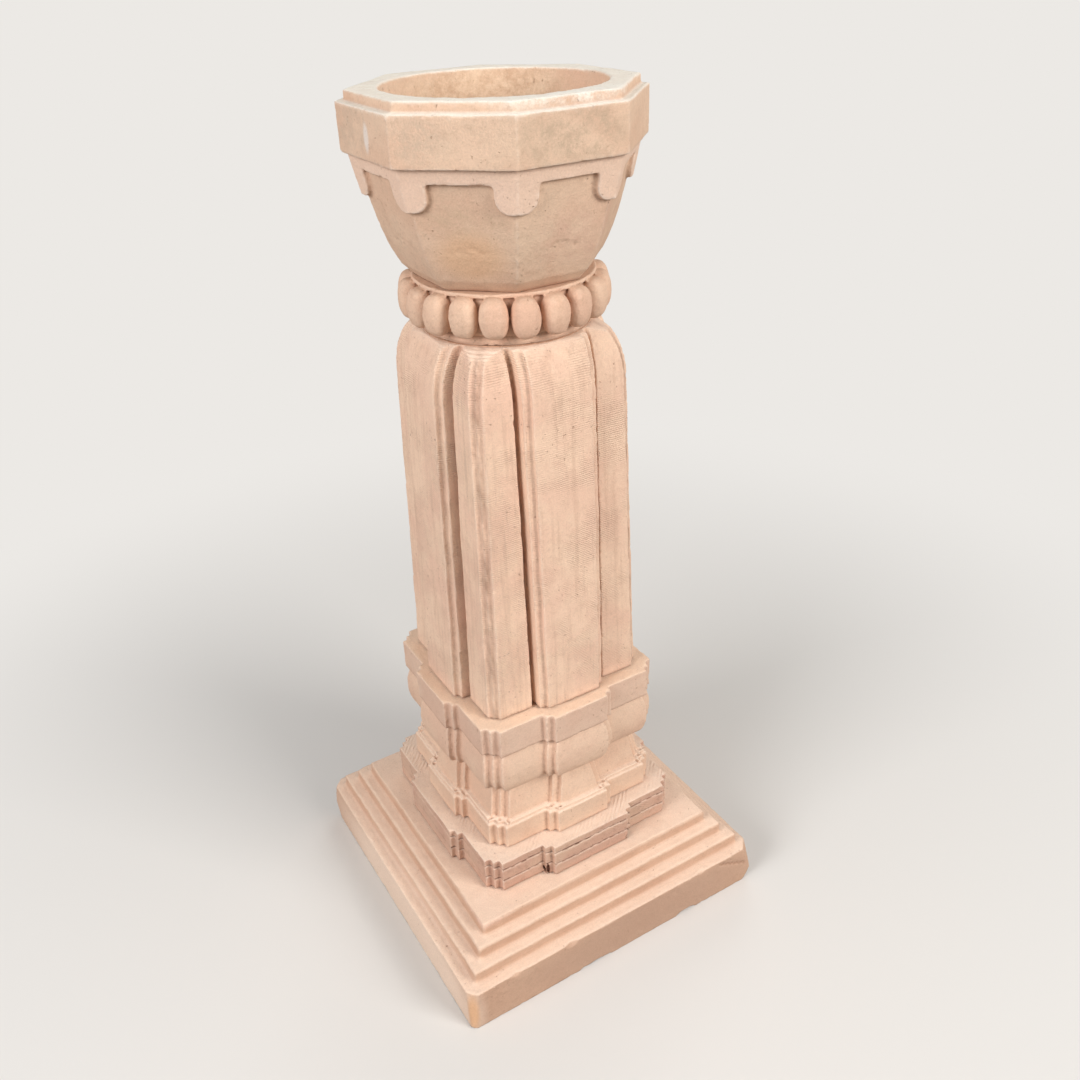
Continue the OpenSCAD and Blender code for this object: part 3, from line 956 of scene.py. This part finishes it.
@dataclass
class BaseCourse(Stone):
    """The lowest course, with its two kerfs and the gaps where its mortar fell out."""

    node: str = "base_course"
    piece: str = "worn_base_course"
    slot: Slot = Slot.COURSE
    finish: Sandstone = Sandstone(
        "base course sandstone",
        buff=paint(210, 175, 152),
        rose=paint(204, 163, 142),
        shade=paint(172, 133, 114),
        seam_dirt_and_shade=paint(112, 70, 56),
        mottling=0.5,
        seam_dirt_and_shading=1.0,
        tooling=Tooling.HATCHED,
    )
    wear: Wear = Wear(grid=0.95 * MM, rounding=2, swell=0.8 * MM, triangles=195000)
    kerf_places: tuple[float, ...] = (0.0153, 0.0313)
    kerf_width: float = 1.3 * MM
    kerf_depth: float = 2.8 * MM
    side_share: float = 0.15
    long_wander: float = 0.5 * MM
    short_wander: float = 0.3 * MM
    voids: tuple[Chip, ...] = (
        Chip((0.053, -0.131, 0.1), (0.012, 0.02, 0.009)),
        Chip((-0.055, -0.124, 0.104), (0.0045, 0.016, 0.017)),
        Chip((-0.108, -0.104, 0.117), (0.005, 0.008, 0.018)),
    )

    def damage(self, stone: bpy.types.Object) -> None:
        """Opens the voids where mortar and stone are gone."""
        for void in self.voids:
            void.knock_out(stone)

    def roughen(self, stone: bpy.types.Object) -> None:
        """Opens the kerfs again, which the wear has filled.

        They are deep on the near and far sides, and shallow on the other two.

        Args:
            stone: The course.
        """
        low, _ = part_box(self.node)
        places, normals = positions(stone), facings(stone)
        aside = np.abs(normals[:, 1]) ** 2
        wander = self.long_wander * np.sin(places[:, 0] * 90)
        wander = wander + self.short_wander * np.sin(places[:, 0] * 410)
        upright = self.side_share + (1 - self.side_share) * aside
        upright = upright * (np.abs(normals[:, 2]) < 0.8)
        # The kerfs and voids are darkened: dirt, and painted shade in them.
        dirt_and_shade = np.zeros(len(places))
        for height in self.kerf_places:
            rise = places[:, 2] - low[2] - height - wander
            cut = swell_of(rise, self.kerf_width) * upright
            places[:, :2] -= normals[:, :2] * (self.kerf_depth * cut)[:, None]
            dirt_and_shade = np.maximum(dirt_and_shade, np.clip(cut * 2.4 - 0.3, 0, 1))
        for void in self.voids:
            away = np.linalg.norm((places - void.centre) / void.size, axis=1) * 2
            dirt_and_shade = np.maximum(dirt_and_shade, np.clip((1.35 - away) * 3, 0, 1))
        set_positions(stone, places)
        carry(stone, DIRT_AND_SHADE, dirt_and_shade)


@dataclass
class LowerMoulding(Stone):
    """The band, fillet and slope."""

    node: str = "lower_moulding"
    piece: str = "worn_lower_moulding"
    slot: Slot = Slot.COURSE
    finish: Sandstone = Sandstone(
        "moulding sandstone", buff=paint(230, 196, 170), rose=paint(225, 187, 161)
    )
    wear: Wear = Wear(grid=1.1 * MM, wander=0.9 * MM, wander_size=0.035, triangles=190000)


@dataclass
class CushionCourse(Stone):
    """The round-edged course."""

    node: str = "cushion_course"
    piece: str = "worn_cushion_course"
    slot: Slot = Slot.COURSE
    finish: Sandstone = Sandstone(
        "cushion sandstone", buff=paint(229, 196, 171), rose=paint(223, 186, 162)
    )
    wear: Wear = Wear(
        grid=1.3 * MM, rounding=7, wander=0.9 * MM, wander_size=0.035, triangles=150000
    )


@dataclass
class CapCourse(Stone):
    """The plain course under the shaft."""

    node: str = "cap_course"
    piece: str = "worn_cap_course"
    slot: Slot = Slot.COURSE
    finish: Sandstone = Sandstone(
        "cap sandstone",
        buff=paint(223, 191, 169),
        rose=paint(218, 182, 160),
        dust_and_top_shading=paint(240, 209, 182),
    )
    wear: Wear = Wear(
        grid=1.3 * MM,
        wander=0.9 * MM,
        wander_size=0.035,
        chips=2.2 * MM,
        chip_threshold=0.56,
        triangles=140000,
    )


@dataclass
class Shaft(Stone):
    """The grooved shaft, combed on its faces."""

    node: str = "shaft"
    piece: str = "worn_shaft"
    slot: Slot = Slot.SHAFT
    finish: Sandstone = Sandstone(
        "shaft sandstone",
        buff=paint(238, 205, 179),
        rose=paint(233, 195, 171),
        seam_dirt_and_shade=paint(126, 84, 64),
        mottling=0.35,
        seam_dirt_and_shading=1.0,
        streaking=0.4,
        tooling=Tooling.COMBED,
    )
    wear: Wear = Wear(grid=1.25 * MM, rounding=3, triangles=195000)
    corner_band: float = 0.009
    # How dark the corner notches are: dirt and painted shade.
    corner_dirt_and_shade: float = 0.3
    chip: Chip = Chip((-0.0435, -0.0985, 0.651), (0.006, 0.008, 0.009), 10)

    def damage(self, stone: bpy.types.Object) -> None:
        """Knocks a chip out of a groove's edge."""
        self.chip.knock_out(stone)

    def roughen(self, stone: bpy.types.Object) -> None:
        """Notes the dirt and painted shade in the notches at the four corners.

        Args:
            stone: The shaft.
        """
        across, deep, rise = positions(stone).T
        corner = swell_of(np.abs(across) - np.abs(deep), self.corner_band)
        ragged = self.corner_dirt_and_shade + 0.14 * np.sin(rise * 70)
        ragged = ragged + 0.1 * np.sin(rise * 233 + across * 900)
        carry(stone, DIRT_AND_SHADE, corner * ragged)


@dataclass
class BeadCollar(Stone):
    """The collar and its ring of beads."""

    node: str = "bead_collar"
    piece: str = "worn_bead_collar"
    slot: Slot = Slot.COLLAR
    finish: Sandstone = Sandstone(
        "bead sandstone",
        buff=paint(226, 191, 165),
        rose=paint(220, 180, 155),
        shade=paint(196, 157, 131),
        # The collar's tops, under the bowl, are darker: painted shade, with dirt.
        dust_and_top_shading=paint(206, 172, 147),
        seam_dirt_and_shade=paint(126, 82, 62),
        mottling=0.45,
        seam_dirt_and_shading=1.0,
    )
    wear: Wear = Wear(grid=1.1 * MM, wander=0.8 * MM, wander_size=0.03, triangles=170000)
    beads: int = 20
    ring: float = 0.0863
    bead_width: float = 0.0255
    bead_height: float = 0.037
    bead_middle: float = 0.0265
    gap: float = 0.9 * MM
    uneven: float = 1.1 * MM
    root: float = 5 * MM
    egg_power: float = 2.4
    side_power: float = 2.9
    plan_power: float = 2.8
    fullness: float = 1.03
    seed: int = 7

    def roughen(self, stone: bpy.types.Object) -> None:
        """Squares the beads up, and makes each a little different from the next.

        Args:
            stone: The collar.
        """
        low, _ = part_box(self.node)
        places = positions(stone)
        sector = math.tau / self.beads
        angle = np.arctan2(places[:, 1], places[:, 0])
        turn = np.round(angle / sector)
        reach = np.hypot(places[:, 0], places[:, 1])
        rise = places[:, 2] - low[2] - self.bead_middle
        across, out = (angle - turn * sector) * reach, reach - self.ring

        level = np.clip(np.abs(rise) / self.bead_height * 2, 0, 0.995)
        slim = (1 - level**self.egg_power) ** (1 / self.egg_power)
        full = (1 - level**self.side_power) ** (1 / self.side_power)
        size = np.maximum(np.hypot(across, out), 0.1 * MM)
        power = self.plan_power
        square = (np.abs(across / size) ** power + np.abs(out / size) ** power) ** (1 / power)
        inside = 1 - np.clip((size / (slim * self.bead_width / 2) - 1.1) / 0.5, 0, 1)
        hold = inside * np.clip((out + self.root) / (self.root + 1 * MM), 0, 1)
        hold = hold * (np.abs(rise) < self.bead_height / 2)
        growth = 1 + (self.fullness * np.minimum(full / slim, 1.5) / square - 1) * hold
        wide = across * growth
        reach = self.ring + out * growth
        room = reach * sector / 2 - self.gap / 2
        across = np.where(np.abs(wide) > np.abs(across), np.clip(wide, -room, room), wide)

        chances = np.random.default_rng(self.seed).uniform(-1, 1, (self.beads, 2))
        picked = chances[turn.astype(int) % self.beads]
        reach = reach + hold * (picked[:, 0] - 0.6) * self.uneven
        angle = turn * sector + across / np.maximum(reach, 1 * MM)
        places[:, 0], places[:, 1] = reach * np.cos(angle), reach * np.sin(angle)
        places[:, 2] += hold * picked[:, 1] * self.uneven * 0.7
        set_positions(stone, places)


@dataclass
class Bowl(Stone):
    """The bowl, weathered outside and pecked inside, with a paler apron."""

    node: str = "bowl"
    piece: str = "worn_bowl"
    slot: Slot = Slot.BOWL
    body: Body = Body.BOWL
    finish: Sandstone = Sandstone(
        "bowl sandstone",
        buff=paint(225, 193, 167),
        rose=paint(218, 182, 156),
        shade=paint(196, 163, 139),
        # Near-white tops and arrises: dust and wear, and painted highlight.
        dust_and_top_shading=paint(254, 246, 232),
        edge=paint(255, 248, 238),
        grey=paint(208, 185, 160),
        mottling=0.45,
        dusting_and_top_shading=1.0,
        edging=1.0,
        weathering=0.25,
        aproned=True,
        spots=(
            Spot((0.0, -0.1235, 0.866), (0.07, 0.03, 0.03), paint(190, 165, 141), 0.85),
            Spot((-0.108, -0.068, 0.866), (0.03, 0.03, 0.024), paint(199, 175, 153), 0.8),
            Spot((-0.1235, 0.02, 0.868), (0.03, 0.05, 0.03), paint(199, 174, 152), 0.7),
            Spot(
                (-0.1235, -0.0089, 0.8633), (0.012, 0.0065, 0.015), paint(230, 220, 212), 0.7, False
            ),
            Spot((-0.075, -0.075, 0.80), (0.05, 0.05, 0.018), paint(204, 173, 145), 0.7),
            Spot((-0.07, -0.07, 0.77), (0.04, 0.04, 0.03), paint(222, 178, 140), 0.6, False),
            Spot((0.02, -0.1, 0.785), (0.06, 0.05, 0.04), paint(213, 174, 152), 0.7),
            Spot((0.03, 0.07, 0.86), (0.12, 0.08, 0.06), paint(222, 196, 167), 0.7, False),
            Spot((0.03, 0.07, 0.86), (0.12, 0.08, 0.06), paint(188, 152, 124), 0.85),
            # A painted highlight along the front of the rim's top.
            Spot(
                (0.0, -0.11, 0.8935), (0.1, 0.03, 0.012), paint(254, 250, 240), 0.75, over_dust=True
            ),
        ),
    )
    wear: Wear = Wear(grid=1.35 * MM, wander=0.5 * MM, triangles=198000)
    mouth: float = 0.0985
    floor: float = 0.774
    body_top: float = 0.845
    body_height: float = 0.108
    body_face: float = 0.1135
    body_lean: float = 0.022
    lobe_height: float = 0.036
    apron_step: float = 2 * MM
    rim_margin: float = 2 * MM
    pecking: Ripple = Ripple(0.0055, 1.8 * MM, 0.6, WORN)

    def roughen(self, stone: bpy.types.Object) -> None:
        """Pecks the wall of the cavity, and notes where the apron stands proud of the body.

        Args:
            stone: The bowl.
        """
        places = positions(stone)
        sides = np.arange(8) * math.tau / 8
        face = (places[:, :1] * np.cos(sides) + places[:, 1:2] * np.sin(sides)).max(1)
        drop = self.body_top - places[:, 2]
        proud = face - self.body_face + self.body_lean * drop / self.body_height
        apron = (drop > 0) & (drop < self.lobe_height + 1 * MM)
        carry(stone, APRON, apron * np.clip((proud - self.apron_step) / self.apron_step, 0, 1))
        reach = np.hypot(places[:, 0], places[:, 1])
        _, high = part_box(self.node)
        rise = places[:, 2]
        inside = (reach < self.mouth) & (rise > self.floor) & (rise < high[2] - self.rim_margin)
        weigh(stone, WORN, inside * 1.0)
        self.pecking.apply(stone)
        stone.vertex_groups.clear()


@dataclass
class Joints:
    """The mortar beds and the steel pins, which keep their nodes."""

    beds: tuple[str, ...] = (
        "plinth_bed",
        "base_bed",
        "moulding_bed",
        "cushion_bed",
        "cap_bed",
        "collar_bed",
    )
    pins: tuple[str, ...] = (
        "plinth_pins",
        "base_pins",
        "moulding_pins",
        "cushion_pins",
        "cap_pins",
        "collar_pins",
        "bowl_pin",
    )

    def build(self) -> None:
        """Gives each bed and pin its finish."""
        self._dress(self.beds, Mortar().material())
        self._dress(self.pins, BarSteel().material())

    @staticmethod
    def _dress(nodes: Iterable[str], material: bpy.types.Material) -> None:
        """Dresses nodes, whose meshes stay as they are.

        Args:
            nodes: The nodes' names.
            material: The one material for all of them.
        """
        for name in nodes:
            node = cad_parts[name]
            node.data.materials.clear()
            node.data.materials.append(material)
            LOG.info("%s: %s", name, material.name)


# The studio


@dataclass(frozen=True)
class Lamp:
    """A soft square lamp that looks at the planter."""

    name: str
    place: Point
    width: float
    power: float
    colour: Point = (1.0, 1.0, 1.0)


@dataclass
class Studio:
    """Floor, lamps, world and camera. The lengths are in metres."""

    floor_size: float = 60.0
    near: float = 0.3
    far: float = 1.3
    floor_colour: Colour = paint(222, 219, 215)
    backdrop: Colour = paint(236, 233, 229)
    bounce: Colour = paint(130, 124, 118)
    sky: Colour = (1.0, 0.99, 0.975, 1.0)
    ambient: float = 0.28
    lamps: tuple[Lamp, ...] = (
        Lamp("back", (2.2, 2.4, 1.9), 1.8, 24.0, (1.0, 0.99, 0.98)),
        Lamp("front", (1.25, -2.7, 1.9), 1.6, 92.0, (1.0, 0.99, 0.97)),
        Lamp("side", (-2.75, -0.6, 1.8), 1.6, 76.0, (0.99, 0.99, 1.0)),
    )
    aim: Point = (0.0285, 0.0030, 0.4360)
    azimuth: float = -30.378
    elevation: float = 30.582
    roll: float = -2.298
    distance: float = 1.1114
    lens: float = 34.484
    sensor: float = 36.0

    def build(self) -> None:
        """Sets the studio up."""
        self._floor()
        self._world()
        for lamp in self.lamps:
            self._lamp(lamp)
        self._camera()

    def _floor(self) -> None:
        """A pale floor that the camera sees fade into the backdrop."""
        bpy.ops.object.select_all(action="DESELECT")
        bpy.ops.mesh.primitive_plane_add(size=self.floor_size)
        floor = bpy.context.object
        floor.name = "studio_floor"
        sheet = Sheet("pale floor")
        place = sheet.place()
        reach = sheet.node("ShaderNodeVectorMath", {"operation": "LENGTH"}, {0: place}, "Value")
        seen = sheet.node("ShaderNodeLightPath", output="Is Camera Ray")
        matt = sheet.node(
            "ShaderNodeBsdfPrincipled",
            inputs={
                "Base Color": sheet.mix(seen, self.bounce, self.floor_colour),
                "Roughness": 0.9,
                "Specular IOR Level": 0.1,
            },
        )
        glow = sheet.node("ShaderNodeEmission", inputs={"Color": self.backdrop, "Strength": 1.0})
        fade = sheet.ease(reach, self.near, self.far) * seen
        sheet.node_out(sheet.node("ShaderNodeMixShader", inputs={0: fade, 1: matt, 2: glow}))
        floor.data.materials.append(sheet.material)

    def _world(self) -> None:
        """An even pale light, shown at the backdrop's own colour."""
        world = bpy.data.worlds.new("studio")
        bpy.context.scene.world = world
        world.use_nodes = True
        tree = world.node_tree
        tree.nodes.clear()
        light = tree.nodes.new("ShaderNodeBackground")
        light.inputs["Color"].default_value = self.sky
        light.inputs["Strength"].default_value = self.ambient
        shown = tree.nodes.new("ShaderNodeBackground")
        shown.inputs["Color"].default_value = self.backdrop
        path = tree.nodes.new("ShaderNodeLightPath")
        mixed = tree.nodes.new("ShaderNodeMixShader")
        output = tree.nodes.new("ShaderNodeOutputWorld")
        tree.links.new(path.outputs["Is Camera Ray"], mixed.inputs[0])
        tree.links.new(light.outputs[0], mixed.inputs[1])
        tree.links.new(shown.outputs[0], mixed.inputs[2])
        tree.links.new(mixed.outputs[0], output.inputs["Surface"])

    def _lamp(self, lamp: Lamp) -> None:
        """Adds a lamp.

        Args:
            lamp: Its sizes, place and power.
        """
        data = bpy.data.lights.new(lamp.name, "AREA")
        data.size = lamp.width
        data.energy = lamp.power
        data.color = lamp.colour
        holder = bpy.data.objects.new(lamp.name, data)
        bpy.context.scene.collection.objects.link(holder)
        holder.location = lamp.place
        beam = Vector(self.aim) - Vector(lamp.place)
        holder.rotation_euler = beam.to_track_quat("-Z", "Y").to_euler()

    def _camera(self) -> None:
        """Adds the camera at the photograph's view."""
        turn, rise, tilt = (math.radians(a) for a in (self.azimuth, self.elevation, self.roll))
        flat = math.cos(rise)
        back = Vector((math.sin(turn) * flat, -math.cos(turn) * flat, math.sin(rise)))
        level = Vector((math.cos(turn), math.sin(turn), 0))
        upright = back.cross(level)
        right = math.cos(tilt) * level + math.sin(tilt) * upright
        up = -math.sin(tilt) * level + math.cos(tilt) * upright
        data = bpy.data.cameras.new("camera")
        data.lens = self.lens
        data.sensor_width = self.sensor
        data.clip_end = self.floor_size
        camera = bpy.data.objects.new("camera", data)
        bpy.context.scene.collection.objects.link(camera)
        turned = Matrix((right, up, back)).transposed().to_4x4()
        camera.matrix_world = Matrix.Translation(Vector(self.aim) + back * self.distance) @ turned
        bpy.context.scene.camera = camera


def main() -> None:
    """Builds the planter and the studio."""
    logging.basicConfig(level=logging.INFO, format="%(name)s: %(message)s")
    courses = (PlinthSlab, BaseCourse, LowerMoulding, CushionCourse, CapCourse)
    for stone in (*courses, Shaft, BeadCollar, Bowl):
        stone().build()
    Joints().build()
    Studio().build()
    bpy.context.scene.view_settings.view_transform = "Standard"


if __name__ == "__main__":
    main()
